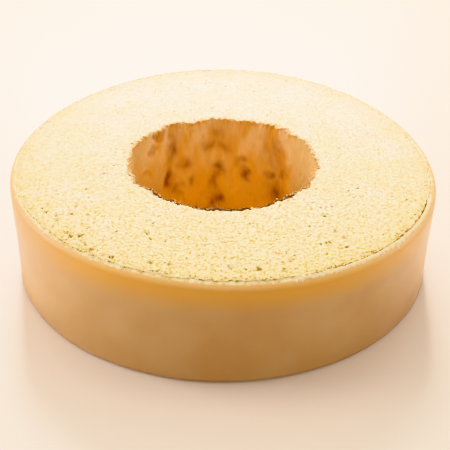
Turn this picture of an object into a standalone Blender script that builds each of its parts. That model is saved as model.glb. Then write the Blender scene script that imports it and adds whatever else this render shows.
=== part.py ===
"""Baumkuchen: a whole ring of spit-baked layer cake, cut flat, with sugar icing round its side.

The ring lies on its lower cut face. The origin is the centre of that face and +Z is up, in metres.
Angles are in degrees anticlockwise from +X, seen from above, and the best side faces -Y.
"""

import math
import random

import bmesh
import bpy
from mathutils import Vector, noise

MM = 0.001

# The ring's driving dimensions
HEIGHT = 40 * MM
RIM_RADIUS = 75 * MM
FOOT_RADIUS = 73.6 * MM
HOLE_RADIUS = 32.1 * MM

# Low waves that make the ring as uneven as hand-turned cake: count around, height, angle of a crest
RIM_WAVES = ((2, 0.4 * MM, 90), (3, 1.1 * MM, -37))
FOOT_WAVES = ((2, 0.4 * MM, 43), (3, 0.35 * MM, -12))
HOLE_WAVES = ((1, 0.55 * MM, 170), (2, 0.9 * MM, 6), (3, 0.4 * MM, 39))

# The baked layers, whose edges show as shallow rings on the cut faces
LAYERS = 14
LAYER_SPREAD = 0.22
LAYER_WOBBLE = 0.35 * MM
RING_GROOVE = 0.28 * MM
CUT_ROUGHNESS = 0.16 * MM

# The hole's browned wall: ribs along the axis, and deeper creases as angle, depth and half width
RIBS = 11
RIB_HEIGHT = 0.35 * MM
LUMP_HEIGHT = 0.4 * MM
LUMP_SIZE = 7 * MM
CREASES = (
    (126, 1.3 * MM, 7),
    (96, 1.0 * MM, 8),
    (52, 0.9 * MM, 11),
    (-28, 1.1 * MM, 8),
    (-84, 0.8 * MM, 10),
    (-150, 1.2 * MM, 8),
)

# The hole's torn top rim, and the one chip that is missing from it
RIM_CHAMFER = 0.9 * MM
RIM_TEAR = 0.7 * MM
RIM_REACH = 3.5 * MM
CHIP_ANGLE = 89
CHIP_HALF_WIDTH = 5.0
CHIP_DEPTH = 2.2 * MM

# The sugar icing: a skin with a soft upper edge, a hair clear of the crumb and of the table
ICING_TOP = 2.3 * MM
ICING_FOOT = 1.8 * MM
ICING_CLEARANCE = 0.3 * MM
ICING_OFF_TABLE = 0.5 * MM
ICING_BELOW_CUT = 0.4 * MM
ICING_EDGE_RADIUS = 1.1 * MM
ICING_FOOT_CHAMFER = 0.5 * MM
ICING_WAVE = 0.25 * MM
ICING_WAVE_SIZE = 24 * MM

# The crack where the crumb has drawn away from the icing
CRACK_ANGLE = -42
CRACK_HALF_WIDTH = 38
CRACK_OPENING = 0.5 * MM
CRACK_DEPTH = 9 * MM

# How finely the shapes are divided
SEGMENTS = 96
HOLE_ROWS = 7
INTERFACE_ROWS = 3
ICING_ROWS = 6
EDGE_STEPS = 4
FOOT_CHAMFER = 0.8 * MM
SHARP_ANGLE = math.radians(35)
SEED = 7


def clear_scene():
    """Removes whatever the file held before."""
    for leftover in list(bpy.data.objects):
        bpy.data.objects.remove(leftover)


def baked_material(name, colour, roughness):
    """A Principled material of one colour."""
    material = bpy.data.materials.new(name)
    material.use_nodes = True
    shader = material.node_tree.nodes["Principled BSDF"]
    shader.inputs["Base Color"].default_value = (*colour, 1.0)
    shader.inputs["Roughness"].default_value = roughness
    shader.inputs["Metallic"].default_value = 0.0
    return material


def mix(start, end, share):
    """The value a share of the way from start to end."""
    return start + (end - start) * share


def bump(offset):
    """1 at an offset of 0, falling smoothly to 0 at an offset of 1 either way."""
    reach = min(1.0, abs(offset))
    return (1 - reach * reach) ** 2


def degrees_between(angle, other):
    """The signed turn in degrees from other to angle, from -180 to 180."""
    return (math.degrees(angle) - other + 180) % 360 - 180


def waves(angle, terms):
    """The sum of the waves at an angle, in metres."""
    return sum(height * math.cos(count * (angle - math.radians(crest))) for count, height, crest in terms)


def roughness_at(point, size):
    """Smooth noise from about -1 to 1, with features of the given size."""
    return noise.noise(Vector(point) / size)


def wall_radius(height):
    """The outside of the icing before its waves, which leans out a little towards the top."""
    return mix(FOOT_RADIUS, RIM_RADIUS, height / HEIGHT)


def interface_radius(height):
    """The surface midway between crumb and icing."""
    return wall_radius(height) - mix(ICING_FOOT, ICING_TOP, height / HEIGHT)


def layer_edges(inner, outer):
    """The radii of the edges between baked layers, from the hole to the icing, with unequal layers."""
    draw = random.Random(SEED)
    thicknesses = [1 + draw.uniform(-LAYER_SPREAD, LAYER_SPREAD) for _ in range(LAYERS)]
    edges = [inner]
    for thickness in thicknesses:
        edges.append(edges[-1] + thickness / sum(thicknesses) * (outer - inner))
    return edges


def outline_waves(angle, height):
    """The waves of the ring's outside at a height, mixed from those of its foot and its rim."""
    return mix(waves(angle, FOOT_WAVES), waves(angle, RIM_WAVES), height / HEIGHT)


def crumb_profile():
    """The crumb's section as (radius, height): up the hole's wall, over the cut face and down."""
    crumb_rim = interface_radius(HEIGHT) - ICING_CLEARANCE / 2
    crumb_foot = interface_radius(0) - ICING_CLEARANCE / 2
    hole_top = HEIGHT - RIM_CHAMFER
    points = [(HOLE_RADIUS + FOOT_CHAMFER, 0.0)]
    for row in range(HOLE_ROWS + 1):
        points.append((HOLE_RADIUS, mix(FOOT_CHAMFER, hole_top, row / HOLE_ROWS)))
    edges = layer_edges(HOLE_RADIUS + RIM_CHAMFER, crumb_rim - RIM_CHAMFER)
    for inner, outer in zip(edges, edges[1:]):
        points.append((inner, HEIGHT - RING_GROOVE))
        points.append(((inner + outer) / 2, HEIGHT))
    points.append((edges[-1], HEIGHT - RING_GROOVE))
    for row in range(INTERFACE_ROWS + 1):
        height = mix(hole_top, FOOT_CHAMFER, row / INTERFACE_ROWS)
        points.append((interface_radius(height) - ICING_CLEARANCE / 2, height))
    points.append((crumb_foot - FOOT_CHAMFER, 0.0))
    return points


def icing_profile():
    """The icing's section as (radius, height): up its inside, over its soft edge and down outside."""
    foot = ICING_OFF_TABLE
    top = HEIGHT - ICING_BELOW_CUT
    points = []
    for row in range(INTERFACE_ROWS + 1):
        height = mix(foot, top, row / INTERFACE_ROWS)
        points.append((interface_radius(height) + ICING_CLEARANCE / 2, height))
    edge_centre = wall_radius(top) - ICING_EDGE_RADIUS
    for step in range(EDGE_STEPS + 1):
        turn = math.pi / 2 * (1 - step / EDGE_STEPS)
        radius = edge_centre + ICING_EDGE_RADIUS * math.cos(turn)
        points.append((radius, top - ICING_EDGE_RADIUS + ICING_EDGE_RADIUS * math.sin(turn)))
    for row in range(1, ICING_ROWS + 1):
        height = mix(top - ICING_EDGE_RADIUS, foot + ICING_FOOT_CHAMFER, row / ICING_ROWS)
        points.append((wall_radius(height), height))
    points.append((wall_radius(foot) - ICING_FOOT_CHAMFER, foot))
    return points


def hole_wall_relief(angle, height):
    """How much wider the hole is here: ribs and lumps from the spit, and the creases between them."""
    ribs = RIB_HEIGHT * math.cos(RIBS * angle + math.sin(3 * angle))
    creases = sum(depth * bump(degrees_between(angle, centre) / half) for centre, depth, half in CREASES)
    around = (HOLE_RADIUS * math.cos(angle), HOLE_RADIUS * math.sin(angle), height)
    return ribs + creases + LUMP_HEIGHT * roughness_at(around, LUMP_SIZE)


def crumb_point(point):
    """Moves a point of the evenly turned crumb to its place on the uneven one."""
    angle = math.atan2(point.y, point.x)
    radius = math.hypot(point.x, point.y)
    height = point.z
    span = interface_radius(height) - ICING_CLEARANCE / 2 - HOLE_RADIUS
    across = min(1.0, (radius - HOLE_RADIUS) / span)
    moved = radius + mix(waves(angle, HOLE_WAVES), outline_waves(angle, height), across)

    inside_wall = bump((radius - HOLE_RADIUS) / RIM_REACH)
    moved += inside_wall * hole_wall_relief(angle, height)

    from_rim = math.hypot(radius - HOLE_RADIUS, height - HEIGHT)
    torn = bump(from_rim / RIM_REACH)
    chip = bump(degrees_between(angle, CHIP_ANGLE) / CHIP_HALF_WIDTH)
    moved += torn * (RIM_TEAR * roughness_at((*point.xy, 0.0), RIM_REACH) + chip * CHIP_DEPTH)

    on_cut_face = height > HEIGHT - RIM_CHAMFER / 2
    if on_cut_face and 0 < across < 1:
        wobble = roughness_at((*point.xy, SEED * MM), LAYERS * MM)
        moved += LAYER_WOBBLE * wobble * bump(2 * across - 1)
        height += CUT_ROUGHNESS * roughness_at(point, 3 * MM) - torn * chip * CHIP_DEPTH / 2

    drawn_away = bump(degrees_between(angle, CRACK_ANGLE) / CRACK_HALF_WIDTH)
    near_icing = bump((1 - across) * span / RIM_REACH) * bump((HEIGHT - height) / CRACK_DEPTH)
    moved -= CRACK_OPENING * drawn_away * near_icing
    return Vector((moved * math.cos(angle), moved * math.sin(angle), height))


def icing_point(point):
    """Moves a point of the evenly turned icing to its place on the uneven one."""
    angle = math.atan2(point.y, point.x)
    radius = math.hypot(point.x, point.y)
    skin = radius - interface_radius(point.z) - ICING_CLEARANCE / 2
    outside = min(1.0, max(0.0, skin / ICING_FOOT))
    moved = radius + outline_waves(angle, point.z)
    moved += outside * ICING_WAVE * roughness_at(point, ICING_WAVE_SIZE)
    return Vector((moved * math.cos(angle), moved * math.sin(angle), point.z))


def turned_ring(name, profile, place, material):
    """Turns a closed cross-section once round +Z, then moves each point with place."""
    shape = bmesh.new()
    corners = [shape.verts.new((radius, 0.0, height)) for radius, height in profile]
    sides = [shape.edges.new(pair) for pair in zip(corners, corners[1:] + corners[:1])]
    bmesh.ops.spin(
        shape,
        geom=corners + sides,
        cent=(0, 0, 0),
        axis=(0, 0, 1),
        angle=math.tau,
        steps=SEGMENTS,
        use_merge=True,
    )
    for corner in shape.verts:
        corner.co = place(corner.co)
    bmesh.ops.recalc_face_normals(shape, faces=shape.faces)
    for edge in shape.edges:
        edge.smooth = edge.calc_face_angle() < SHARP_ANGLE
    for face in shape.faces:
        face.smooth = True
    mesh = bpy.data.meshes.new(name)
    shape.to_mesh(mesh)
    shape.free()
    mesh.materials.append(material)
    ring = bpy.data.objects.new(name, mesh)
    bpy.context.scene.collection.objects.link(ring)
    return ring


def centre_on_origin(rings):
    """Moves all the rings alike, so that the whole one's bounding box stands centred on the origin."""
    corners = [corner.co for ring in rings for corner in ring.data.vertices]
    for axis in (0, 1):
        places = [corner[axis] for corner in corners]
        offset = (min(places) + max(places)) / 2
        for ring in rings:
            ring.location[axis] = -offset


def main():
    clear_scene()
    crumb_cream = baked_material("sponge_crumb", (0.87, 0.68, 0.36), 0.9)
    icing_amber = baked_material("sugar_icing", (0.62, 0.32, 0.12), 0.35)
    sponge = turned_ring("sponge", crumb_profile(), crumb_point, crumb_cream)
    icing = turned_ring("icing", icing_profile(), icing_point, icing_amber)
    centre_on_origin([sponge, icing])


main()
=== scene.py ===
"""The looks of a whole baumkuchen ring: porous crumb, browned hole, sugar icing and loose crumbs.

Lengths are in metres, written as millimetres times MM. +Z is up, the best side faces -Y, and
angles are in degrees anticlockwise from +X, seen from above.
"""

import logging
import math
from dataclasses import dataclass
from enum import Enum
from typing import Any

import bmesh
import bpy
import numpy as np
from mathutils import Matrix, Vector, noise


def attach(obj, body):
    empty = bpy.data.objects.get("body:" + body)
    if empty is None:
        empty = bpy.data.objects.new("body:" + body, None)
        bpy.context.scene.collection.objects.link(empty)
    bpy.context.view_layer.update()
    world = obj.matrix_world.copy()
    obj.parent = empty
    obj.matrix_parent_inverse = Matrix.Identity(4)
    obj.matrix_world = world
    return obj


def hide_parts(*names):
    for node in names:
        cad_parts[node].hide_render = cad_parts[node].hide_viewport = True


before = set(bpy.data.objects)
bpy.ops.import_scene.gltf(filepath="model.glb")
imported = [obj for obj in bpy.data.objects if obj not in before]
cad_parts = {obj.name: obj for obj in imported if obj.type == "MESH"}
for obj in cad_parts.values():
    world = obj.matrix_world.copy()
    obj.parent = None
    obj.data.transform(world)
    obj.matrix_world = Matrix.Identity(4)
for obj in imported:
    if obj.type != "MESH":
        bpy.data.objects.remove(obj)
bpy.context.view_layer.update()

MM = 0.001
RAY_REACH = 120 * MM
MERGE_DISTANCE = 0.0001 * MM
MATH = "ShaderNodeMath"
VECTOR_MATH = "ShaderNodeVectorMath"
MAP_RANGE = "ShaderNodeMapRange"
MIX = "ShaderNodeMix"
SEPARATE = "ShaderNodeSeparateXYZ"
COMBINE = "ShaderNodeCombineXYZ"
log = logging.getLogger("baumkuchen")

Node = bpy.types.Node
Socket = bpy.types.NodeSocket
Object = bpy.types.Object
Mesh = bpy.types.Mesh
Material = bpy.types.Material
Point = tuple[float, float]
Inputs = dict[str | int, Any] | tuple[Any, ...]
SOCKET_KINDS = {
    int: "NodeSocketInt",
    float: "NodeSocketFloat",
    str: "NodeSocketString",
    tuple: "NodeSocketVector",
    Object: "NodeSocketObject",
    Material: "NodeSocketMaterial",
}


class Wall(Enum):
    """The wall of a ring that a measuring ray finds."""

    INNER = "from the axis outwards"
    OUTER = "from outside towards the axis"


class Kind(Enum):
    """The kinds of loose bits that lie on the cake."""

    CRUMB = "sponge_crumb"
    SUGAR = "sugar_icing"


def linear_colour(code: str) -> tuple[float, float, float, float]:
    """Turns an sRGB colour into linear values.

    Args:
        code: The colour as a hex code such as #F4E3B5.

    Returns:
        Red, green, blue and a full alpha.
    """
    shares = [int(code[place:place + 2], 16) / 255 for place in (1, 3, 5)]
    red, green, blue = (s / 12.92 if s <= 0.04045 else ((s + 0.055) / 1.055) ** 2.4 for s in shares)
    return red, green, blue, 1.0


def named(part: Any, names: str) -> dict[str, Any]:
    """Gives a sub-assembly's fields as values for a tree's inputs, such as pit_depth for Pit Depth.

    Args:
        part: The sub-assembly.
        names: The names of the fields, with spaces between them.

    Returns:
        The value of each input.
    """
    return {name.replace("_", " ").title(): getattr(part, name) for name in names.split()}


class Graph:
    """A node tree, and the one way in which nodes are added to it."""

    def __init__(self, tree: bpy.types.NodeTree) -> None:
        """Starts from an existing tree."""
        self.tree = tree

    def fill(self, node: Node, inputs: Inputs) -> None:
        """Sets or links a node's inputs.

        Args:
            node: The node.
            inputs: A value, an output socket or a node for each input, by the input's name or
                number, or in the node's own order. A node stands for its first output in use.
        """
        for key, value in inputs.items() if isinstance(inputs, dict) else enumerate(inputs):
            if isinstance(value, Node):
                value = next(output for output in value.outputs if output.enabled)
            if isinstance(value, Socket):
                self.tree.links.new(value, node.inputs[key])
            else:
                node.inputs[key].default_value = value

    def add(self, kind: str, inputs: Inputs = (), **settings: Any) -> Node:
        """Adds a node with its settings and links.

        Args:
            kind: The node's type.
            inputs: Its inputs, as fill takes them.
            **settings: The node's own properties.

        Returns:
            The new node.
        """
        node = self.tree.nodes.new(kind)
        for name, value in settings.items():
            setattr(node, name, value)
        self.fill(node, inputs)
        return node

    def grains(
        self, place: Any, size: Any, ends: tuple[Any, ...], detail: float = 2.0, roughness: float = 0.5
    ) -> Node:
        """Adds noise with grains of a real size and stretches it to a range of values.

        Args:
            place: Where the noise is read.
            size: The size of the grains in metres, or the input that holds it.
            ends: The noise that gives the first and the last result, then those two results where
                they aren't 0 and 1.
            detail: How many times finer grains are laid over it.
            roughness: How strong the finer grains are.

        Returns:
            The node that gives the stretched noise.
        """
        scale = self.add(MATH, (1.0, size), operation="DIVIDE")
        texture = self.add(
            "ShaderNodeTexNoise", {"Vector": place, "Scale": scale, "Detail": detail, "Roughness": roughness}
        )
        return self.add(MAP_RANGE, (texture, *ends))


class Finish(Graph):
    """The nodes of a new material, whose patterns read Object coordinates."""

    def __init__(self, name: str) -> None:
        """Starts the material.

        Args:
            name: The material's name.
        """
        self.material = bpy.data.materials.new(name)
        self.material.use_nodes = True
        super().__init__(self.material.node_tree)
        self.place = self.add("ShaderNodeTexCoord").outputs["Object"]

    def paint(self, ground: str, *layers: tuple[Any, str]) -> Socket:
        """Lays colours one over another.

        Args:
            ground: The hex code of the lowest colour.
            *layers: The share and the hex code of each colour above it.

        Returns:
            The finished colour.
        """
        surface: Any = linear_colour(ground)
        for share, code in layers:
            surface = self.add(
                MIX, {0: share, 6: surface, 7: linear_colour(code)}, data_type="RGBA"
            ).outputs[2]
        return surface

    def dress(self, inputs: Inputs) -> Material:
        """Fills the shader's inputs.

        Args:
            inputs: The patterns, and the values that are the same all over.

        Returns:
            The finished material.
        """
        self.fill(self.tree.nodes["Principled BSDF"], inputs)
        return self.material


class ShapeTree(Graph):
    """A Geometry Nodes tree with a named input for each size, which runs once on a mesh."""

    def __init__(self, name: str, values: dict[str, Any]) -> None:
        """Makes the tree with its sockets.

        Args:
            name: The tree's name.
            values: The value of each named input.
        """
        super().__init__(bpy.data.node_groups.new(name, "GeometryNodeTree"))
        self.values = values
        for way in ("INPUT", "OUTPUT"):
            self.tree.interface.new_socket("Geometry", in_out=way, socket_type="NodeSocketGeometry")
        for label, value in values.items():
            self.tree.interface.new_socket(label, in_out="INPUT", socket_type=SOCKET_KINDS[type(value)])
        self.inputs = self.add("NodeGroupInput").outputs
        self.place = self.add("GeometryNodeInputPosition").outputs[0]

    def store(self, shape: Node, fields: dict[str, Any]) -> Node:
        """Stores fields for the finish and shades the shape smooth.

        Args:
            shape: The node with the shape.
            fields: The fields by the names that the finish reads.

        Returns:
            The node with the marked shape.
        """
        for label, field in fields.items():
            shape = self.add(
                "GeometryNodeStoreNamedAttribute", {"Geometry": shape, "Name": label, "Value": field}
            )
        return self.add("GeometryNodeSetShadeSmooth", {"Geometry": shape})

    def grow(self, name: str, host: Mesh, shape: Node) -> Object:
        """Ends the tree, runs it once and keeps its result as a plain mesh.

        Args:
            name: The finished piece's name.
            host: The mesh that the tree starts from.
            shape: The node with the finished shape.

        Returns:
            The piece, at the origin, with no modifier left.
        """
        real = self.add("GeometryNodeRealizeInstances", {"Geometry": shape})
        dressed = self.add("GeometryNodeSetMaterial", {"Geometry": real, "Material": self.inputs["Finish"]})
        self.add("NodeGroupOutput", {"Geometry": dressed})
        piece = bpy.data.objects.new(name, host)
        bpy.context.scene.collection.objects.link(piece)
        modifier = piece.modifiers.new(self.tree.name, "NODES")
        modifier.node_group = self.tree
        for item in self.tree.interface.items_tree:
            if item.in_out == "INPUT" and item.name in self.values:
                modifier[item.identifier] = self.values[item.name]
        grown = piece.evaluated_get(bpy.context.evaluated_depsgraph_get())
        mesh = bpy.data.meshes.new_from_object(grown)
        piece.modifiers.remove(modifier)
        piece.data = mesh
        bpy.data.meshes.remove(host)
        return piece


class FittedRing(ShapeTree):
    """A section swept round the axis and laid on the walls of a solid, ready for its relief.

    across runs from 0 at the inner wall to 1 at the outer one, height is in metres, and outward
    is the level unit vector away from the axis. All three are kept from the plain section.
    """

    def __init__(self, name: str, values: dict[str, Any]) -> None:
        """Adds the sweep, the kept fields and the rays that measure the solid's walls.

        Args:
            name: The tree's name.
            values: The value of each named input.
        """
        super().__init__(name, values)
        add, inputs = self.add, self.inputs
        section = add("GeometryNodeMeshToCurve", {"Mesh": inputs["Geometry"]})
        path = add(
            "GeometryNodeCurvePrimitiveCircle",
            {"Resolution": inputs["Steps Around"], "Radius": inputs["Inner Radius"]},
        )
        swept = add("GeometryNodeCurveToMesh", {"Curve": path, "Profile Curve": section})
        parts = add(SEPARATE, (self.place,)).outputs
        flat = add(COMBINE, {"X": parts["X"], "Y": parts["Y"]})
        unit = add(VECTOR_MATH, (flat,), operation="NORMALIZE")
        distance = add(VECTOR_MATH, (flat,), operation="LENGTH")
        share = add(MAP_RANGE, (distance, inputs["Inner Radius"], inputs["Outer Radius"]))
        kept = add("GeometryNodeCaptureAttribute", {"Geometry": swept})
        fields = {"Across": ("FLOAT", share), "Height": ("FLOAT", parts["Z"]), "Outward": ("VECTOR", unit)}
        for label, (kind, field) in fields.items():
            kept.capture_items.new(kind, label)
            self.fill(kept, {label: field})
        self.across, self.height, self.outward = (kept.outputs[label] for label in fields)

        self.solid = add("GeometryNodeObjectInfo", {"Object": inputs["Solid"]}).outputs["Geometry"]
        ray_height = add("ShaderNodeClamp", (self.height, inputs["Lowest Ray"], inputs["Highest Ray"]))
        level = add(COMBINE, {"Z": ray_height})
        inner, outer = (self.wall_radius(level, wall) for wall in Wall)
        radius = add(MIX, {0: self.across, 2: inner, 3: outer}, data_type="FLOAT")
        upright = add(COMBINE, {"Z": self.height})
        point = add(VECTOR_MATH, (self.outward, radius, upright), operation="MULTIPLY_ADD")
        ring = kept.outputs["Geometry"]
        self.shape = add("GeometryNodeSetPosition", {"Geometry": ring, "Position": point})

    def wall_radius(self, level: Node, wall: Wall) -> Node:
        """Adds the rays that measure a wall's radius, and smooths out the solid's flat sides.

        Args:
            level: The point on the axis at the ray's height.
            wall: The wall to measure.

        Returns:
            The node that gives the radius.
        """
        add, inputs = self.add, self.inputs
        start, direction, missed = level, self.outward, inputs["Inner Radius"]
        if wall is Wall.OUTER:
            start = add(VECTOR_MATH, (self.outward, (RAY_REACH,) * 3, level), operation="MULTIPLY_ADD")
            direction = add(VECTOR_MATH, {0: self.outward, 3: -1.0}, operation="SCALE")
            missed = inputs["Outer Radius"]
        ray = add(
            "GeometryNodeRaycast",
            {"Target Geometry": self.solid, "Source Position": start, "Ray Direction": direction,
             "Ray Length": RAY_REACH},
        )
        found = ray.outputs["Hit Distance"]
        if wall is Wall.OUTER:
            found = add(MATH, (RAY_REACH, found), operation="SUBTRACT")
        radius = add(
            "GeometryNodeSwitch", {"Switch": ray.outputs["Is Hit"], "False": missed, "True": found},
            input_type="FLOAT",
        )
        return add("GeometryNodeBlurAttribute", {"Value": radius, "Iterations": inputs["Wall Smoothing"]})

    def push(self, shape: Node, reach: Node, lift: Node) -> Node:
        """Moves a shape's points away from the axis and upwards.

        Args:
            shape: The node with the shape.
            reach: How far each point moves away from the axis.
            lift: How far it moves upwards.

        Returns:
            The node with the moved shape.
        """
        upward = self.add(COMBINE, {"Z": lift})
        offset = self.add(VECTOR_MATH, (self.outward, reach, upward), operation="MULTIPLY_ADD")
        return self.add("GeometryNodeSetPosition", {"Geometry": shape, "Offset": offset})


def close_and_turn_out(piece: Object) -> None:
    """Merges a piece's doubles and turns its faces outwards.

    Args:
        piece: The piece to mend.
    """
    shape = bmesh.new()
    shape.from_mesh(piece.data)
    bmesh.ops.remove_doubles(shape, verts=shape.verts, dist=MERGE_DISTANCE)
    bmesh.ops.recalc_face_normals(shape, faces=shape.faces)
    shape.to_mesh(piece.data)
    shape.free()


def outline_mesh(points: list[Point], inner_radius: float) -> Mesh:
    """Draws a ring's closed section for the sweep, which takes X as outwards and -Y as up.

    Args:
        points: The section's corners as radius and height.
        inner_radius: The radius of the circle that carries the section.

    Returns:
        A mesh of edges only.
    """
    mesh = bpy.data.meshes.new("section")
    corners = [(radius - inner_radius, -height, 0.0) for radius, height in points]
    mesh.from_pydata(corners, [(corner, (corner + 1) % len(corners)) for corner in range(len(corners))], [])
    return mesh


def run(start: Point, end: Point, spacing: float) -> list[Point]:
    """Divides a straight run of a section evenly.

    Args:
        start: The first point, which is kept.
        end: The last point, which the next run starts with.
        spacing: The wanted distance between points.

    Returns:
        The points from start up to, but without, end.
    """
    steps = max(1, round(math.dist(start, end) / spacing))
    return [
        (start[0] + (end[0] - start[0]) * step / steps, start[1] + (end[1] - start[1]) * step / steps)
        for step in range(steps)
    ]


def bend(centre: Point, radii: Point, steps: int, first: float = 90, last: float = 0) -> list[Point]:
    """Rounds a corner of a section with a part of an ellipse.

    Args:
        centre: The ellipse's centre.
        radii: Its radii across and up.
        steps: How many sides the arc has.
        first: The angle in degrees at which it starts, which is kept.
        last: The angle at which it ends, which is left to the next run.

    Returns:
        The points of the arc without its last.
    """
    turns = [math.radians(first + (last - first) * step / steps) for step in range(steps)]
    return [(centre[0] + radii[0] * math.cos(turn), centre[1] + radii[1] * math.sin(turn)) for turn in turns]


@dataclass(frozen=True)
class BakedCrumb:
    """Butter sponge cut with a knife, browned where it lay on the spit.

    The cut shows a matte, pale cream crumb with fine pores, painted olive inside: partly the crumb's
    own deeper colour, partly painted shade. The cut is painted deeper and more specked towards the
    front as painted shade of the light falling off. The wall of the hole is its own baked skin: tan,
    mottled along the axis, with scorched marks, and amber lower down as painted bounce light inside
    the hole. Its edge shows on the cut as a thin brown line, painted darker and wider in front as
    painted shade along the near rim.
    """

    cream: str = "#FCECD2"
    deep_cream: str = "#FAE6B8"
    gold_cream: str = "#F5D78C"
    speck_straw: str = "#D0B25C"
    # Painted shade: the olive that pores, pits and the crack wall are painted where they sink in.
    pore_shade_olive: str = "#8C7838"
    pale_tan: str = "#CDAF78"
    tan: str = "#E0BF8B"
    amber: str = "#D4A153"
    # Painted bounce light: the amber lower down in the hole.
    bounce_amber: str = "#DEA424"
    scorch_brown: str = "#90500F"
    # A thin brown line: partly the skin's own edge, partly painted shade along the near rim.
    edge_brown_and_shade: str = "#5C340A"
    cut_roughness: float = 0.92
    skin_roughness: float = 0.9
    patch_size: float = 11 * MM
    speck_size: float = 1.0 * MM
    streak_size: float = 5.0 * MM
    blotch_size: float = 2.6 * MM
    skin_height: float = 36 * MM
    # The painted shade of the cut runs from none at the back to its most in front.
    front: float = -60 * MM
    back: float = 60 * MM
    gold_from: float = 60 * MM
    gold_to: float = 73 * MM
    grain_size: float = 0.4 * MM
    grain_height: float = 0.12 * MM
    subsurface_depth: float = 1.5 * MM

    def build(self) -> Material:
        """Builds the crumb's material, which reads the pore, browned, scorch and edge attributes.

        Returns:
            The material.
        """
        look = Finish("butter_sponge_cut_and_baked")
        add = look.add
        pore, browned, scorch, edge = (
            add("ShaderNodeAttribute", attribute_name=name).outputs["Fac"]
            for name in ("pore", "browned", "scorch", "edge")
        )
        cut, skin = self.cut_colour(look, pore), self.skin_colour(look, scorch, edge)
        colour = add(MIX, {0: browned, 6: cut, 7: skin}, data_type="RGBA").outputs[2]
        roughness = add(MAP_RANGE, (browned, 0.0, 1.0, self.cut_roughness, self.skin_roughness))
        grain = look.grains(look.place, self.grain_size, (0.0, 1.0), detail=3.0)
        bump = add("ShaderNodeBump", {"Height": grain, "Distance": self.grain_height, "Strength": 0.7})
        return look.dress({
            "Base Color": colour, "Roughness": roughness, "Normal": bump, "IOR": 1.4,
            "Specular IOR Level": 0.15, "Subsurface Weight": 0.15, "Subsurface Radius": (1.0, 0.6, 0.3),
            "Subsurface Scale": self.subsurface_depth,
        })

    def cut_colour(self, look: Finish, pore: Socket) -> Socket:
        """Adds the cream of the cut face: soft patches, straw specks and olive pores.

        The patches deepen and the specks grow denser towards the front, as painted shade of the light
        falling off.

        Args:
            look: The material's nodes.
            pore: The field of pores.

        Returns:
            The colour.
        """
        add = look.add
        along = add(SEPARATE, (look.place,)).outputs["Y"]
        # Painted shade: deeper patches and denser specks towards the front stand for the light falling off.
        painted_light_frontness = add(MAP_RANGE, (along, self.back, self.front))
        patches = look.grains(look.place, self.patch_size, (0.0, 1.0), detail=3.0)
        front_shaded_patches = add(MATH, (painted_light_frontness, 0.3, patches), operation="MULTIPLY_ADD")
        patch_share = add(MAP_RANGE, (front_shaded_patches, 0.45, 0.82))
        level = add(VECTOR_MATH, (look.place, (1.0, 1.0, 0.0)), operation="MULTIPLY")
        radius = add(VECTOR_MATH, (level,), operation="LENGTH")
        outwards = add(MAP_RANGE, (radius, self.gold_from, self.gold_to, 0.0, 0.5))
        fine = look.grains(look.place, self.speck_size, (0.0, 1.0), roughness=0.6)
        front_speck_shade = add(MAP_RANGE, (painted_light_frontness, 0.0, 1.0, 0.12, 0.95))
        specks = add(MAP_RANGE, (fine, 0.55, 0.42, 0.0, front_speck_shade))
        # Painted shade: the darkest specks and the sunk pores, pits and crack wall are painted olive.
        dark_specks = add(MAP_RANGE, (fine, 0.45, 0.35, 0.0, front_speck_shade))
        pores = add(MAP_RANGE, (pore, 0.1, 0.6, 0.0, 0.9))
        pore_shade_share = add(MATH, (dark_specks, pores), operation="MAXIMUM")
        return look.paint(
            self.cream, (patch_share, self.deep_cream), (outwards, self.gold_cream),
            (specks, self.speck_straw), (pore_shade_share, self.pore_shade_olive),
        )

    def skin_colour(self, look: Finish, scorch: Socket, edge: Socket) -> Socket:
        """Adds the baked skin of the hole: streaks along the axis, amber lower down as painted bounce light
        inside the hole, and scorched marks.

        Args:
            look: The material's nodes.
            scorch: The field of scorched marks, below 0 on the pale strips.
            edge: The field of the skin's edge on the cut.

        Returns:
            The colour.
        """
        add = look.add
        drawn_out = add("ShaderNodeMapping", {"Vector": look.place, "Scale": (1.0, 1.0, 0.4)})
        streaks = look.grains(drawn_out, self.streak_size, (0.36, 0.64))
        height = add(SEPARATE, (look.place,)).outputs["Z"]
        # Painted light: the richer amber lower down stands for light bouncing inside the hole.
        painted_bounce_share = add(MAP_RANGE, (height, self.skin_height, 0.0, 0.0, 0.9), interpolation_type="SMOOTHSTEP")
        paleness = add(MAP_RANGE, (scorch, 0.0, -1.0))
        mottle = look.grains(drawn_out, self.blotch_size, (0.3, 0.7, 0.65, 1.3), detail=3.0)
        scorched = add(MATH, (scorch, mottle), operation="MULTIPLY", use_clamp=True)
        return look.paint(
            self.tan, (streaks, self.amber), (painted_bounce_share, self.bounce_amber), (paleness, self.pale_tan),
            (scorched, self.scorch_brown), (edge, self.edge_brown_and_shade),
        )


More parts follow.
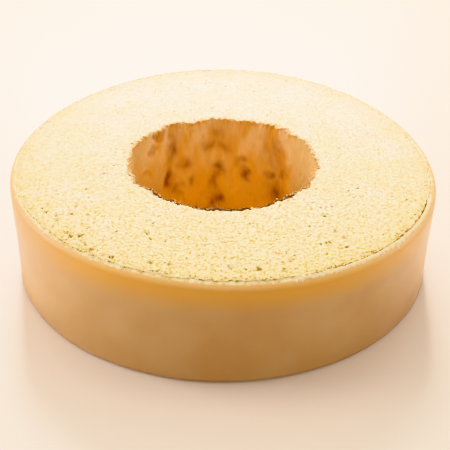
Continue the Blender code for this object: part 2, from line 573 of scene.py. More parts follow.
@dataclass(frozen=True)
class PouredSugarIcing:
    """Sugar icing poured over the turning cake and set.

    It looks smooth and satin, peach to tan with soft clouds. Its thin upper part is painted a warm
    yellow-brown, most of all in front, as painted glow of light shining through it, and bright peach
    at the soft edge as a painted highlight. The lip that the knife cut is grainy and smeared with
    crumb, so that no sharp line parts the two. Inside the crack it is painted olive as painted shade.
    """

    peach: str = "#C49D6C"
    tan: str = "#BC8F5A"
    # Painted light: the glow near the top and the highlight at the soft edge.
    glow_gold: str = "#D59D49"
    painted_glow_peach: str = "#EBBC74"
    crumb_gold: str = "#FBE0AE"
    # Painted shade inside the crack.
    crack_shade_olive: str = "#C6A468"
    cloud_size: float = 22 * MM
    fleck_size: float = 1.1 * MM
    grain_size: float = 0.7 * MM
    grain_height: float = 0.05 * MM
    # Where the painted glow and the painted highlight lie, and where the glow grows strongest in front.
    glow_gold_band: Point = (13 * MM, 3 * MM)
    glow_band: Point = (2.8 * MM, 0.6 * MM)
    front_band: Point = (-20 * MM, -65 * MM)
    side_roughness: float = 0.38
    lip_roughness: float = 0.75
    subsurface_depth: float = 3 * MM

    def build(self, top: float) -> Material:
        """Builds the icing's material, which reads the lip attribute and the crack attribute of painted
        shade.

        Args:
            top: The height of the icing's upper edge.

        Returns:
            The material.
        """
        look = Finish("sugar_icing_poured")
        add, place = look.add, look.place
        lip, crack = (
            add("ShaderNodeAttribute", attribute_name=name).outputs["Fac"] for name in ("lip", "crack")
        )
        clouds = look.grains(place, self.cloud_size, (0.3, 0.7))
        parts = add(SEPARATE, (place,)).outputs
        first, last = self.front_band
        painted_light_frontness = add(MAP_RANGE, (parts["Y"], first, last, 0.5))
        # Painted light: a band of glow near the top, strongest in front, and a bright peach highlight at the
        # soft edge.
        glow_gold_share, glow = (
            add(MAP_RANGE, (parts["Z"], top - foot, top - head, 0.0, most), interpolation_type="SMOOTHSTEP")
            for (foot, head), most in ((self.glow_gold_band, painted_light_frontness), (self.glow_band, 1.0))
        )
        flecks = look.grains(place, self.fleck_size, (0.0, 1.0))
        ragged = add(MATH, (flecks, 1.6, lip), operation="MULTIPLY_ADD")
        crumbed = add(MAP_RANGE, (ragged, 1.3, 1.6, 0.0, 0.9))
        roughness = add(MAP_RANGE, (lip, 0.0, 1.0, self.side_roughness, self.lip_roughness))
        grain = look.grains(place, self.grain_size, (0.0, 1.0))
        bump = add("ShaderNodeBump", {"Height": grain, "Distance": self.grain_height, "Strength": 0.25})
        colour = look.paint(
            self.peach, (clouds, self.tan), (glow_gold_share, self.glow_gold), (glow, self.painted_glow_peach),
            (crumbed, self.crumb_gold), (crack, self.crack_shade_olive),
        )
        return look.dress({
            "Base Color": colour, "Roughness": roughness, "Normal": bump, "IOR": 1.45,
            "Subsurface Weight": 0.3, "Subsurface Radius": (1.0, 0.5, 0.2),
            "Subsurface Scale": self.subsurface_depth,
        })


@dataclass(frozen=True)
class SugarFleck:
    """Dried flakes of icing, broken off by the knife: nearly white, dull grains."""

    white: str = "#FBE1BE"
    straw: str = "#EFC994"
    grain_size: float = 0.6 * MM

    def build(self) -> Material:
        """Builds the flakes' material.

        Returns:
            The material.
        """
        look = Finish("sugar_icing_flakes")
        grain = look.grains(look.place, self.grain_size, (0.4, 0.6))
        colour = look.paint(self.white, (grain, self.straw))
        return look.dress({"Base Color": colour, "Roughness": 0.7, "IOR": 1.5})


@dataclass(frozen=True)
class PaleBoard:
    """A plain pale painted board: smooth, with a soft sheen that mirrors the cake a little."""

    white: str = "#F6E6D2"
    shade: str = "#F2DFC8"
    cloud_size: float = 180 * MM
    roughness: float = 0.38

    def build(self) -> Material:
        """Builds the floor's material.

        Returns:
            The material.
        """
        look = Finish("painted_board")
        clouds = look.grains(look.place, self.cloud_size, (0.0, 1.0))
        colour = look.paint(self.white, (clouds, self.shade))
        return look.dress({"Base Color": colour, "Roughness": self.roughness})


@dataclass
class CrumbRing:
    """A ring of baked layers between two radii, with its cut faces and its outer and inner walls.

    Two such rings, one in the other, make the whole crumb, because one alone would need too many
    faces. They meet at the seam, under the edge of a layer.
    """

    name: str
    start_radius: float
    end_radius: float
    finish: Material
    steps_around: int = 832
    hole_radius: float = 32.1 * MM
    rim_radius: float = 72.6 * MM
    seam_radius: float = 52 * MM
    seam_tolerance: float = 0.0005
    cut_height: float = 40 * MM
    rim_round: float = 0.5 * MM
    outer_round: float = 0.5 * MM
    foot_chamfer: float = 0.8 * MM
    row_on_cut: float = 0.42 * MM
    row_on_wall: float = 0.95 * MM
    row_on_side: float = 3.0 * MM
    row_on_seam: float = 2.5 * MM
    row_under: float = 1.6 * MM
    ray_margin: float = 1.2 * MM
    wall_smoothing: int = 24
    layer_smoothing: int = 6
    layer_depth: float = 1.2 * MM
    cut_margin: float = 0.02 * MM
    drop_height: float = 60 * MM
    drop_reach: float = 50 * MM
    grain_size: float = 0.9 * MM
    grain_height: float = 0.14 * MM
    pore_spacing: float = 1.6 * MM
    pore_depth: float = 0.7 * MM
    patch_size: float = 9 * MM
    pit_radius: float = 1.3 * MM
    pit_depth: float = 1.1 * MM
    swirl_size: float = 1.1 * MM
    swirl_reach: float = 2.4 * MM
    tear_size: float = 1.7 * MM
    tear_depth: float = 1.7 * MM
    tear_height: float = 3 * MM
    browning_size: float = 1.5 * MM
    browning_drop: Point = (-0.45 * MM, 0.05 * MM)
    browning_band: Point = (-0.2 * MM, 0.15 * MM)
    edge_band: Point = (0.4 * MM, 0.15 * MM)
    crack_shade_band: Point = (0.2 * MM, 0.7 * MM)

    def section(self) -> list[Point]:
        """Draws the section: up the inner wall, over the cut face, down the outer wall and back.

        Returns:
            The section's corners.
        """
        inner, outer, top, foot = self.start_radius, self.end_radius, self.cut_height, self.foot_chamfer
        cut_start = under_end = inner
        cut_end = under_start = outer
        if inner == self.hole_radius:
            shoulder = top - self.rim_round
            cut_start, under_end = inner + self.rim_round, inner + foot
            up = run((under_end, 0), (inner, foot), foot)
            up += run((inner, foot), (inner, shoulder), self.row_on_wall)
            up += bend((cut_start, shoulder), (self.rim_round,) * 2, 4, 180, 90)
        else:
            up = run((inner, 0), (inner, top), self.row_on_seam)
        if outer == self.rim_radius:
            shoulder = top - self.outer_round
            cut_end, under_start = outer - self.outer_round, outer - foot
            down = bend((cut_end, shoulder), (self.outer_round,) * 2, 3)
            down += run((outer, shoulder), (outer, foot), self.row_on_side)
            down += run((outer, foot), (under_start, 0), foot)
        else:
            down = run((outer, top), (outer, 0), self.row_on_seam)
        over = run((cut_start, top), (cut_end, top), self.row_on_cut)
        return up + over + down + run((under_start, 0), (under_end, 0), self.row_under)

    def lay_layers(self, ring: FittedRing) -> Node:
        """Drops the cut face onto the solid's, with the shallow edges of its layers.

        Args:
            ring: The ring on the solid's walls.

        Returns:
            The node with the laid ring.
        """
        add, inputs = ring.add, ring.inputs
        parts = add(SEPARATE, (ring.place,)).outputs
        above = add(COMBINE, (parts["X"], parts["Y"], self.drop_height))
        ray = add(
            "GeometryNodeRaycast",
            {"Target Geometry": ring.solid, "Source Position": above, "Ray Direction": (0.0, 0.0, -1.0),
             "Ray Length": self.drop_reach},
        )
        found = add(SEPARATE, (ray.outputs["Hit Position"],)).outputs["Z"]
        deepest, edge = (
            add(MATH, (inputs["Cut Height"], depth), operation="SUBTRACT")
            for depth in (self.layer_depth, self.cut_margin)
        )
        limited = add("ShaderNodeClamp", (found, deepest, inputs["Cut Height"]))
        soft = add("GeometryNodeBlurAttribute", {"Value": limited, "Iterations": inputs["Layer Smoothing"]})
        on_cut = add("FunctionNodeCompare", (ring.height, edge), operation="GREATER_THAN")
        height = add(
            "GeometryNodeSwitch", {"Switch": on_cut, "False": ring.height, "True": soft}, input_type="FLOAT"
        )
        point = add(COMBINE, (parts["X"], parts["Y"], height))
        return add("GeometryNodeSetPosition", {"Geometry": ring.shape, "Position": point})

    def pores(self, ring: FittedRing) -> tuple[Node, Node]:
        """Adds the fields of pores and pits, from 0 on sound crumb to 1 at the bottom of a hole.

        Args:
            ring: The ring on the solid's walls.

        Returns:
            The nodes that give the pores and the larger pits.
        """
        add, inputs = ring.add, ring.inputs
        per_metre = add(MATH, (1.0, inputs["Pore Spacing"]), operation="DIVIDE")
        cells = add("ShaderNodeTexVoronoi", {"Vector": ring.place, "Scale": per_metre})
        draw = add(SEPARATE, (cells.outputs["Color"],))
        radius = add(MAP_RANGE, (draw, 0.1, 1.0, 0.02, 0.48))
        ratio = add(MATH, (cells.outputs["Distance"], radius), operation="DIVIDE")
        per_swirl = 1 / self.swirl_size
        swirl = add("ShaderNodeTexNoise", {"Vector": ring.place, "Scale": per_swirl, "Detail": 1.0})
        centred = add(VECTOR_MATH, (swirl.outputs["Color"], (0.5,) * 3), operation="SUBTRACT")
        warped = add(VECTOR_MATH, (centred, (self.swirl_reach,) * 3, ring.place), operation="MULTIPLY_ADD")
        places = add("GeometryNodeObjectInfo", {"Object": inputs["Pits"]}).outputs["Geometry"]
        nearest = add(
            "GeometryNodeProximity", {"Geometry": places, "Sample Position": warped}, target_element="POINTS"
        )
        core = add(MATH, (inputs["Pit Radius"], 0.2), operation="MULTIPLY")
        round_pore, pit = (
            add(MAP_RANGE, row, interpolation_type="SMOOTHSTEP")
            for row in ((ratio, 1.0, 0.35), (nearest.outputs["Distance"], inputs["Pit Radius"], core))
        )
        share = ring.grains(ring.place, inputs["Patch Size"], (0.4, 0.6, 0.25, 1.0), detail=1.0)
        by_icing = add(MAP_RANGE, (ring.across, 0.8, 0.93))
        open_share = add(MATH, (share, by_icing), operation="MAXIMUM")
        return add(MATH, (round_pore, open_share), operation="MULTIPLY"), pit

    def relief(self, ring: FittedRing, pore: Node, pit: Node) -> Node:
        """Adds the height of the surface over the plain one: grains up, pores down.

        Args:
            ring: The ring on the solid's walls.
            pore: The field of pores.
            pit: The field of larger pits.

        Returns:
            The node that gives the height in metres.
        """
        grain = ring.grains(ring.place, ring.inputs["Grain Size"], (0.25, 0.75, -1.0, 1.0))
        raised, pore_sunk, pit_sunk = (
            ring.add(MATH, (field, ring.inputs[size]), operation="MULTIPLY")
            for field, size in ((grain, "Grain Height"), (pore, "Pore Depth"), (pit, "Pit Depth"))
        )
        sunk = ring.add(MATH, (pore_sunk, pit_sunk), operation="MAXIMUM")
        return ring.add(MATH, (raised, sunk), operation="SUBTRACT")

    def tear(self, ring: FittedRing) -> Node:
        """Adds the torn outline of the hole's upper rim and, weaker, of the rim by the icing.

        Args:
            ring: The ring on the solid's walls.

        Returns:
            The node that gives how far a point moves away from the axis.
        """
        add, inputs = ring.add, ring.inputs
        jag = ring.grains(ring.place, inputs["Tear Size"], (0.25, 0.75, -1.0, 1.0), 3.0, 0.6)
        low = add(MATH, (inputs["Cut Height"], inputs["Tear Height"]), operation="SUBTRACT")
        near_cut, near_hole, near_icing = (
            add(MAP_RANGE, row, interpolation_type="SMOOTHSTEP")
            for row in (
                (ring.height, low, inputs["Cut Height"], 0.15),
                (ring.across, 0.09, 0.0),
                (ring.across, 0.95, 0.99, 0.0, 0.4),
            )
        )
        reach = add(MATH, (near_hole, near_icing), operation="ADD")
        for factor in (near_cut, inputs["Tear Depth"], jag):
            reach = add(MATH, (reach, factor), operation="MULTIPLY")
        return reach

    def browning(self, ring: FittedRing) -> tuple[Node, Node]:
        """Adds the fields of the browned skin on the hole's wall and of its edge on the cut.

        Args:
            ring: The ring on the solid's walls.

        Returns:
            The nodes for the skin, which ends at an uneven line round the rim and reaches further onto
            the cut in front, and for its edge, painted darker in front as painted shade along the near rim.
        """
        add, inputs = ring.add, ring.inputs
        drop = ring.grains(ring.place, inputs["Browning Size"], (0.35, 0.65, *self.browning_drop))
        line, edge_foot, edge_head = (
            add(MATH, (inputs["Cut Height"], depth), operation="SUBTRACT")
            for depth in (drop, *self.edge_band)
        )
        under_line = add(MATH, (line, ring.height), operation="SUBTRACT")
        facing = add(SEPARATE, (ring.outward,)).outputs["Y"]
        # Painted shade: the skin's edge is painted darker, and the skin reaches wider onto the cut, on the
        # near side of the hole.
        front_edge_shade = add(MAP_RANGE, (facing, -0.75, -0.1, 1.0, 0.25))
        reached = add(MATH, (front_edge_shade, -0.013, ring.across), operation="MULTIPLY_ADD")
        low_enough = add(MAP_RANGE, (under_line, *self.browning_band))
        on_wall = add(MAP_RANGE, (reached, 0.018, 0.008))
        edge = add(MAP_RANGE, (ring.height, edge_foot, edge_head, 0.0, front_edge_shade))
        return add(MATH, (low_enough, on_wall), operation="MULTIPLY"), edge

    def crack_wall_shade(self, ring: FittedRing) -> Node:
        """Adds the field of painted shade on the outer wall, where it shows in the crack beside the icing.

        Args:
            ring: The ring on the solid's walls.

        Returns:
            The node that gives the field.
        """
        add = ring.add
        depth = add(MATH, (ring.inputs["Cut Height"], ring.height), operation="SUBTRACT")
        low = add(MAP_RANGE, (depth, *self.crack_shade_band, 0.0, 0.15))
        at_wall = add(MAP_RANGE, (ring.across, 0.985, 0.998))
        return add(MATH, (low, at_wall), operation="MULTIPLY")

    def crease_seam(self, ring: FittedRing, shape: Node) -> Node:
        """Makes the edges along the seam sharp, so that the two rings' cut faces shade as one.

        Args:
            ring: The ring on the solid's walls.
            shape: The node with the smooth shape.

        Returns:
            The node with the creased shape.
        """
        add, inputs = ring.add, ring.inputs
        seam = add(MAP_RANGE, (inputs["Seam Radius"], inputs["Inner Radius"], inputs["Outer Radius"]))
        sides = {0: ring.across, 1: seam, 12: self.seam_tolerance}
        at_seam = add("FunctionNodeCompare", sides, operation="EQUAL")
        return add(
            "GeometryNodeSetShadeSmooth", {"Geometry": shape, "Selection": at_seam, "Shade Smooth": False},
            domain="EDGE",
        )

    def build(self, pits: Object) -> Object:
        """Builds the ring's mesh: porous, torn crumb on the solid.

        Args:
            pits: The points at which the larger pits lie.

        Returns:
            The dressed ring.
        """
        ring = FittedRing("porous crumb ring", {
            "Solid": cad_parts["sponge"],
            "Pits": pits,
            "Inner Radius": self.hole_radius,
            "Outer Radius": self.rim_radius,
            "Lowest Ray": self.ray_margin,
            "Highest Ray": self.cut_height - self.ray_margin,
            **named(self, "steps_around wall_smoothing layer_smoothing cut_height seam_radius rim_round"),
            **named(self, "grain_size grain_height pore_spacing pore_depth patch_size pit_radius pit_depth"),
            **named(self, "tear_size tear_depth tear_height browning_size finish"),
        })
        add, inputs = ring.add, ring.inputs
        layered = self.lay_layers(ring)
        pore, pit = self.pores(ring)
        relief = self.relief(ring, pore, pit)
        shoulder = add(MATH, (inputs["Cut Height"], inputs["Rim Round"]), operation="SUBTRACT")
        topness = add(MAP_RANGE, (ring.height, shoulder, inputs["Cut Height"]))
        wallness = add(MAP_RANGE, (ring.across, 0.025, 0.0))
        underness = add(MAP_RANGE, (ring.height, inputs["Rim Round"], 0.0))
        rise = add(MATH, (topness, underness), operation="SUBTRACT")
        lift, sunk_in = (add(MATH, (share, relief), operation="MULTIPLY") for share in (rise, wallness))
        reach = add(MATH, (self.tear(ring), sunk_in), operation="SUBTRACT")
        rough = ring.push(layered, reach, lift)
        parts = add(SEPARATE, (ring.place,)).outputs
        above = add(MATH, (parts["Z"], 0.0), operation="MAXIMUM")
        kept_up = add(COMBINE, (parts["X"], parts["Y"], above))
        standing = add("GeometryNodeSetPosition", {"Geometry": rough, "Position": kept_up})
        # Painted shade: the pores, pits and the crack wall are stored for the finish to paint olive.
        pore_pit_and_crack_shade = pore
        for field in (pit, self.crack_wall_shade(ring)):
            pore_pit_and_crack_shade = add(MATH, (pore_pit_and_crack_shade, field), operation="MAXIMUM")
        browned, edge = self.browning(ring)
        smooth = ring.store(standing, {"pore": pore_pit_and_crack_shade, "browned": browned, "edge": edge})
        host = outline_mesh(self.section(), self.hole_radius)
        piece = ring.grow(self.name, host, self.crease_seam(ring, smooth))
        close_and_turn_out(piece)
        return piece


@dataclass
class Crumb:
    """The whole crumb: inner and outer layers, the larger pits and the scorched marks of the hole.

    Pits are given as angle and radius in millimetres. Scorched spots are given as angle, height,
    width, length and strength, and pale strips as their first and last angle and strength.
    """

    finish: Material
    centre: Point = (0.3 * MM, -0.9 * MM)
    cut_height: float = 40 * MM
    pit_places: tuple[Point, ...] = (
        (-165.9, 42.8), (-146.7, 58.6), (-148.2, 68.6), (-145.2, 66.3), (-143.0, 67.5), (-143.5, 61.8),
        (-136.4, 69.5), (-134.2, 69.6), (-132.6, 67.4), (-130.7, 69.0), (-128.6, 69.6), (-125.5, 70.3),
        (-121.5, 70.3), (-119.4, 70.2), (-125.8, 58.7), (-117.0, 52.9), (-109.1, 67.1), (-104.1, 66.0),
        (-87.5, 65.5), (-79.7, 66.5), (-73.5, 69.0), (-70.2, 64.0), (-56.4, 61.5), (-49.6, 60.9),
        (-50.1, 56.9), (-45.1, 48.2),
    )
    scorches: tuple[tuple[float, ...], ...] = (
        (127, 30, 4, 15, 0.7), (129.5, 17, 4.5, 12, 1.0), (125, 11, 5, 6, 0.7), (101, 29, 6, 5, 0.6),
        (91, 28.5, 6, 5, 0.6), (95, 33.5, 5, 6, 0.45), (95, 19, 5, 6, 0.95), (97.5, 13, 4, 12, 0.7),
        (94, 5.5, 5, 6, 1.0), (98, 3, 5, 6, 0.9), (78, 22.7, 5, 4, 0.7), (74.4, 17.3, 3.5, 7, 0.95),
        (53, 28, 13, 20, 0.45), (47, 20.7, 5, 5, 0.9), (57, 19, 6, 5, 0.75), (52, 11, 10, 13, 0.75),
        (140, 37, 6, 5, 0.6), (145, 32, 6, 5, 0.6), (118.7, 22.5, 6, 5, 0.6), (115, 14, 4, 5, 0.6),
        (150, 24, 6, 4, 0.4), (170, 21, 4, 14, 0.7), (-160, 30, 7, 6, 0.6), (-145, 15, 6, 12, 0.7),
        (-120, 26, 5, 15, 0.6), (-100, 12, 8, 9, 0.7), (-82, 28, 7, 5, 0.6), (-60, 20, 4, 14, 0.7),
        (-38, 31, 7, 5, 0.6), (-20, 12, 6, 10, 0.7), (5, 24, 5, 12, 0.5),
    )
    pale_strips: tuple[tuple[float, float, float], ...] = ((-2, 42, 0.9), (136, 176, 0.6))
    warp_size: float = 4 * MM
    warp_reach: float = 2.2 * MM
    seed: int = 4

    def pits(self) -> Object:
        """Places the larger pits as points on the cut face.

        Returns:
            An object of points only.
        """
        mesh = bpy.data.meshes.new("pits")
        (x, y), z = self.centre, self.cut_height
        turns = [(math.radians(angle), radius * MM) for angle, radius in self.pit_places]
        places = [(x + radius * math.cos(turn), y + radius * math.sin(turn), z) for turn, radius in turns]
        mesh.from_pydata(places, [], [])
        points = bpy.data.objects.new("pits", mesh)
        bpy.context.scene.collection.objects.link(points)
        return points

    def scorch(self, piece: Object) -> None:
        """Marks the scorched spots above 0 and the pale strips below 0, with uneven outlines.

        Args:
            piece: The ring with the hole's wall.
        """
        places = np.empty(len(piece.data.vertices) * 3, np.float32)
        piece.data.vertices.foreach_get("co", places)
        places = places.reshape(-1, 3)
        noise.seed_set(self.seed)
        bent = np.array([noise.noise_vector(Vector(place) / self.warp_size) for place in places])
        x, y, z = ((places + bent * self.warp_reach) / MM).T
        x, y = x - self.centre[0] / MM, y - self.centre[1] / MM
        radius = np.hypot(x, y)
        angle_here = np.degrees(np.arctan2(y, x))
        marks = np.zeros(len(x))
        for angle, height, width, length, strength in self.scorches:
            turn = (angle_here - angle + 180) % 360 - 180
            sideways = np.radians(turn) * radius / (width / 2)
            upward = (z - height) / (length / 2)
            marks = np.maximum(marks, strength * np.exp(-1.2 * (sideways ** 2 + upward ** 2)))
        for first, last, strength in self.pale_strips:
            inside = np.clip((angle_here - first) / 2, 0, 1) * np.clip((last - angle_here) / 2, 0, 1)
            marks = marks - strength * inside * np.clip(1 - 4 * marks, 0, 1)
        attribute = piece.data.attributes.new("scorch", "FLOAT", "POINT")
        attribute.data.foreach_set("value", marks.astype(np.float32))

    def build(self) -> list[Object]:
        """Builds both rings of the crumb.

        Returns:
            The inner and the outer ring.
        """
        pits = self.pits()
        pieces = []
        for name, start, end in (
            ("crumb_inner_layers", CrumbRing.hole_radius, CrumbRing.seam_radius),
            ("crumb_outer_layers", CrumbRing.seam_radius, CrumbRing.rim_radius),
        ):
            pieces.append(CrumbRing(name, start, end, self.finish).build(pits))
            self.scorch(pieces[-1])
        bpy.data.objects.remove(pits)
        return pieces


@dataclass
class IcingSkin:
    """The skin of icing: smooth outside, with a soft cut lip, and open from the crumb at the crack."""

    finish: Material
    steps_around: int = 720
    inner_radius: float = 72.9 * MM
    outer_radius: float = 75 * MM
    foot: float = 0.5 * MM
    top: float = 39.6 * MM
    lip_rise: float = 0.25 * MM
    edge_across: float = 2.2 * MM
    edge_down: float = 3.2 * MM
    foot_chamfer: float = 0.5 * MM
    lip_inside: float = 2 * MM
    row_inside: float = 4 * MM
    row_by_lip: float = 0.5 * MM
    row_over_lip: float = 0.25 * MM
    row_outside: float = 0.9 * MM
    row_at_foot: float = 0.3 * MM
    row_under: float = 1 * MM
    ray_margins: Point = (0.8 * MM, 1.3 * MM)
    wall_smoothing: int = 12
    crack_angle: float = -45.0
    crack_half_width: float = 31.0
    crack_start: float = 0.2 * MM
    crack_depth: float = 0.7 * MM
    crack_shade_band: Point = (-0.1 * MM, 0.3 * MM)
    crack_cover: float = 0.12 * MM
    overlap: float = 0.4 * MM
    least_wander: float = 0.5 * MM
    lip_wander: float = 2.4 * MM
    wander_size: float = 4.5 * MM
    sag_size: float = 13 * MM
    sag_depth: float = 0.12 * MM
    lip_depth: float = 1.3 * MM
    lip_grain_size: float = 1.1 * MM
    lip_grain_height: float = 0.2 * MM

    def section(self) -> list[Point]:
        """Draws the section: up the inside, over the lip, round the edge and down the outside.

        Returns:
            The section's corners.
        """
        inner, outer, foot, top = self.inner_radius, self.outer_radius, self.foot, self.top
        under_lip, lip = (inner, top - self.lip_inside), (inner, top + self.lip_rise)
        shoulder, edge_foot = (outer - self.edge_across, top), (outer, top - self.edge_down)
        side_foot, sole = (outer, foot + self.foot_chamfer), (outer - self.foot_chamfer, foot)
        points = run((inner, foot), under_lip, self.row_inside)
        points += run(under_lip, lip, self.row_by_lip) + run(lip, shoulder, self.row_over_lip)
        points += bend((shoulder[0], edge_foot[1]), (self.edge_across, self.edge_down), 12)
        points += run(edge_foot, side_foot, self.row_outside) + run(side_foot, sole, self.row_at_foot)
        return points + run(sole, (inner, foot), self.row_under)

    def closing(self, ring: FittedRing, joined: Node, under_crack: Node) -> Node:
        """Adds how far the inside of the skin reaches in: over the crumb where they are joined.

        Args:
            ring: The ring on the solid's walls.
            joined: The field of the directions in which skin and crumb are joined.
            under_crack: The field of the skin below the crack.

        Returns:
            The node that gives the distance.
        """
        add, inputs = ring.add, ring.inputs
        ends = (0.4, 0.65, inputs["Least Wander"], inputs["Lip Wander"])
        wander = ring.grains(ring.place, inputs["Wander Size"], ends, 5.0, 0.75)
        at_lip = add(MATH, (1.0, under_crack), operation="SUBTRACT")
        inside = add(MATH, (1.0, ring.across), operation="SUBTRACT")
        reach_in = add(MATH, (wander, at_lip, inputs["Overlap"]), operation="MULTIPLY_ADD")
        joined_here = add(MATH, (joined, under_crack), operation="MAXIMUM")
        reach = add(MIX, {0: joined_here, 2: inputs["Crack Cover"], 3: reach_in}, data_type="FLOAT")
        return add(MATH, (reach, inside), operation="MULTIPLY")

    def build(self) -> Object:
        """Builds the skin's mesh on the solid.

        Returns:
            The dressed skin.
        """
        turn = math.radians(self.crack_angle)
        ring = FittedRing("poured icing skin", {
            "Solid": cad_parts["icing"],
            "Lowest Ray": self.foot + self.ray_margins[0],
            "Highest Ray": self.top - self.ray_margins[1],
            "Crack Direction": (math.cos(turn), math.sin(turn), 0.0),
            "Crack Reach": math.cos(math.radians(self.crack_half_width)),
            **named(self, "steps_around wall_smoothing inner_radius outer_radius top crack_depth"),
            **named(self, "crack_cover overlap least_wander lip_wander wander_size sag_size sag_depth"),
            **named(self, "lip_depth lip_grain_size lip_grain_height finish"),
        })
        add, inputs = ring.add, ring.inputs
        facing = add(VECTOR_MATH, (ring.outward, inputs["Crack Direction"]), operation="DOT_PRODUCT")
        shoulder = add(MATH, (inputs["Top"], inputs["Lip Depth"]), operation="SUBTRACT")
        apart, lip, cut_share = (
            add(MAP_RANGE, row, interpolation_type="SMOOTHSTEP")
            for row in (
                (facing.outputs["Value"], inputs["Crack Reach"], 0.92),
                (ring.height, shoulder, inputs["Top"]),
                (ring.across, 1.0, 0.45),
            )
        )
        below_top = add(MATH, (inputs["Top"], ring.height), operation="SUBTRACT")
        under_crack = add(MAP_RANGE, (below_top, self.crack_start, inputs["Crack Depth"]))
        # Painted shade: the inside of the skin is marked where it shows in the crack, to be painted olive.
        crack_head = add(MAP_RANGE, (below_top, *self.crack_shade_band))
        crack_side = add(MAP_RANGE, (ring.across, 0.06, 0.01))
        joined = add(MATH, (1.0, apart), operation="SUBTRACT")
        closed_by = self.closing(ring, joined, under_crack)
        sag = ring.grains(ring.place, inputs["Sag Size"], (0.3, 0.7, -1.0, 0.0), detail=1.0, roughness=0.4)
        grain = ring.grains(ring.place, inputs["Lip Grain Size"], (0.3, 0.7, -1.0, 1.0), detail=3.0)
        fields = (lip, crack_head, sag, grain)
        for factors in (
            (cut_share, crack_side, inputs["Sag Depth"], inputs["Lip Grain Height"]),
            (1.0, apart, ring.across, lip),
        ):
            fields = [add(MATH, pair, operation="MULTIPLY") for pair in zip(fields, factors)]
        lip_mark, crack_shade_mark, sagged, lift = fields
        moved_out = add(MATH, (sagged, closed_by), operation="SUBTRACT")
        skin = ring.store(ring.push(ring.shape, moved_out, lift), {"lip": lip_mark, "crack": crack_shade_mark})
        piece = ring.grow("icing_skin", outline_mesh(self.section(), self.inner_radius), skin)
        close_and_turn_out(piece)
        return piece


@dataclass
class LooseBits:
    """Small crumbs or flakes that the knife left lying on the cake, all of one kind."""

    name: str
    kind: Kind
    finish: Material
    carrier: Object
    seed: int
    density: float
    radii: Point
    angles: tuple[Point, ...]
    centre: Point
    lowest: float
    highest: float
    smallest: float = 0.2 * MM
    largest: float = 0.42 * MM
    flatness: float = 0.75
    mark: str = "chosen"
    lump_size: float = 0.35 * MM
    lump_height: float = 0.09 * MM

    def chosen_faces(self) -> Mesh:
        """Copies the carrier's mesh and marks the part that the bits lie on.

        Returns:
            The marked copy.
        """
        mesh = self.carrier.data.copy()
        places = np.empty(len(mesh.vertices) * 3, np.float32)
        mesh.vertices.foreach_get("co", places)
        x, y, z = places.reshape(-1, 3).T
        x, y = x - self.centre[0], y - self.centre[1]
        radius = np.hypot(x, y)
        angle = np.degrees(np.arctan2(y, x))
        turned = np.any([(angle >= first) & (angle <= last) for first, last in self.angles], axis=0)
        level = (z > self.lowest) & (z < self.highest)
        inside = turned & level & (radius > self.radii[0]) & (radius < self.radii[1])
        attribute = mesh.attributes.new(self.mark, "FLOAT", "POINT")
        attribute.data.foreach_set("value", inside.astype(np.float32))
        return mesh

    def build(self) -> Object:
        """Scatters the bits on the carrier as one plain mesh.

        Returns:
            The bits.
        """
        names = "density mark smallest largest flatness seed lump_size lump_height finish"
        bits = ShapeTree(f"loose bits {self.name}", named(self, names))
        add, inputs = bits.add, bits.inputs
        chosen = add("GeometryNodeInputNamedAttribute", {"Name": inputs["Mark"]}, data_type="FLOAT")
        density = add(MATH, (chosen.outputs["Attribute"], inputs["Density"]), operation="MULTIPLY")
        points = add(
            "GeometryNodeDistributePointsOnFaces",
            {"Mesh": inputs["Geometry"], "Density": density, "Seed": inputs["Seed"]},
        )
        ball = add("GeometryNodeMeshIcoSphere", {"Radius": 1.0, "Subdivisions": 2})
        size = add(
            "FunctionNodeRandomValue", {2: inputs["Smallest"], 3: inputs["Largest"], "Seed": inputs["Seed"]},
            data_type="FLOAT",
        ).outputs[1]
        thickness = add(MATH, (size, inputs["Flatness"]), operation="MULTIPLY")
        scale = add(COMBINE, (size, size, thickness))
        scattered = add(
            "GeometryNodeInstanceOnPoints",
            {"Points": points, "Instance": ball, "Rotation": points.outputs["Rotation"], "Scale": scale},
        )
        real = add("GeometryNodeRealizeInstances", {"Geometry": scattered})
        swell = bits.grains(bits.place, inputs["Lump Size"], (0.3, 0.7, -1.0, 1.0), detail=1.0)
        swollen = add(MATH, (swell, inputs["Lump Height"]), operation="MULTIPLY")
        normal = add("GeometryNodeInputNormal").outputs[0]
        offset = add(VECTOR_MATH, {0: normal, 3: swollen}, operation="SCALE")
        lumpy = add("GeometryNodeSetPosition", {"Geometry": real, "Offset": offset})
        return bits.grow(self.name, self.chosen_faces(), lumpy)


@dataclass(frozen=True)
class Panel:
    """A square soft light that faces the middle of the cake."""

    name: str
    place: tuple[float, float, float]
    size: float
    power: float
    colour: str = "#FFFFFF"

    def hang(self) -> None:
        """Hangs the panel."""
        data = bpy.data.lights.new(self.name, "AREA")
        data.shape = "SQUARE"
        data.size = self.size
        data.energy = self.power
        data.color = linear_colour(self.colour)[:3]
        panel = bpy.data.objects.new(self.name, data)
        bpy.context.scene.collection.objects.link(panel)
        place = Vector(self.place)
        panel.matrix_world = Matrix.Translation(place) @ place.to_track_quat("Z", "Y").to_matrix().to_4x4()


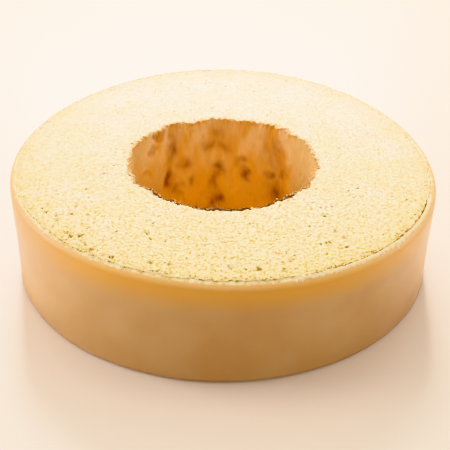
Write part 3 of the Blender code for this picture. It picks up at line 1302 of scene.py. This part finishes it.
@dataclass
class Studio:
    """A pale floor, soft lights above, behind and at both sides, and the camera."""

    camera_place: tuple[float, float, float] = (1.08 * MM, -375.0 * MM, 257.67 * MM)
    pitch: float = 33.193
    roll: float = 1.5
    lens: float = 97.818
    sensor: float = 36.0
    floor_size: float = 8.0
    panels: tuple[Panel, ...] = (
        Panel("key", (-20 * MM, 300 * MM, 200 * MM), 240 * MM, 4.9),
        Panel("top", (0.0, 150 * MM, 700 * MM), 500 * MM, 1.6),
        Panel("left", (-700 * MM, 60 * MM, 260 * MM), 420 * MM, 4.7, "#EDF3FF"),
        Panel("right", (700 * MM, 110 * MM, 260 * MM), 420 * MM, 2.2, "#EDF3FF"),
        Panel("front", (0.0, -900 * MM, 500 * MM), 500 * MM, 2.3),
    )
    sky: str = "#FFF6EA"
    sky_strength: float = 0.4

    def floor(self) -> Object:
        """Lays the floor.

        Returns:
            The floor.
        """
        mesh = bpy.data.meshes.new("floor")
        half = self.floor_size / 2
        mesh.from_pydata(
            [(-half, -half, 0), (half, -half, 0), (half, half, 0), (-half, half, 0)], [], [(0, 1, 2, 3)]
        )
        mesh.materials.append(PaleBoard().build())
        floor = bpy.data.objects.new("floor", mesh)
        bpy.context.scene.collection.objects.link(floor)
        return floor

    def camera(self) -> None:
        """Sets the camera up and makes it the scene's own."""
        pitch, roll = math.radians(self.pitch), math.radians(self.roll)
        forward = Vector((0.0, math.cos(pitch), -math.sin(pitch)))
        level = Vector((1.0, 0.0, 0.0))
        upward = level.cross(forward)
        right = level * math.cos(roll) + upward * math.sin(roll)
        up = upward * math.cos(roll) - level * math.sin(roll)
        data = bpy.data.cameras.new("camera")
        data.lens = self.lens
        data.sensor_width = self.sensor
        data.clip_end = 20.0
        camera = bpy.data.objects.new("camera", data)
        bpy.context.scene.collection.objects.link(camera)
        turned = Matrix((right, up, -forward)).transposed().to_4x4()
        camera.matrix_world = Matrix.Translation(self.camera_place) @ turned
        bpy.context.scene.camera = camera

    def build(self) -> None:
        """Builds the studio, with a tone curve that keeps colours and rolls off bright ones."""
        self.floor()
        self.camera()
        for panel in self.panels:
            panel.hang()
        world = bpy.data.worlds.new("sky")
        world.use_nodes = True
        background = world.node_tree.nodes["Background"]
        background.inputs["Color"].default_value = linear_colour(self.sky)
        background.inputs["Strength"].default_value = self.sky_strength
        bpy.context.scene.world = world
        bpy.context.scene.view_settings.view_transform = "Khronos PBR Neutral"


def report(piece: Object, stands_for: str) -> None:
    """Logs a piece's size in triangles and what it stands for."""
    triangles = sum(len(face.vertices) - 2 for face in piece.data.polygons)
    log.info("%s: %d triangles, %s", piece.name, triangles, stands_for)


def main() -> None:
    """Builds the studio and every piece."""
    logging.basicConfig(level=logging.INFO, format="%(message)s")
    Studio().build()

    crumb = Crumb(BakedCrumb().build())
    crumb_pieces = crumb.build()
    for piece in crumb_pieces:
        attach(piece, "root")
        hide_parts("sponge")
        report(piece, "part of the sponge")

    icing = IcingSkin(PouredSugarIcing().build(IcingSkin.top)).build()
    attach(icing, "root")
    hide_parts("icing")
    report(icing, "the icing")

    for bits in (
        LooseBits(
            "rim_crumbs", Kind.CRUMB, crumb.finish, crumb_pieces[0], 11, 0.3e6, (31 * MM, 34.5 * MM),
            ((-180, 180),), crumb.centre, 38.4 * MM, 39.1 * MM,
        ),
        LooseBits(
            "icing_flakes", Kind.SUGAR, SugarFleck().build(), icing, 23, 1.1e6, (71 * MM, 76 * MM),
            ((-72.5, -69.5), (-68, -65.5), (-48, -45), (-42, -39)), crumb.centre, 38.7 * MM, 39.5 * MM,
            smallest=0.3 * MM, largest=0.58 * MM, flatness=0.4,
        ),
    ):
        piece = bits.build()
        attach(piece, "root")
        report(piece, "loose bits")


if __name__ == "__main__":
    main()
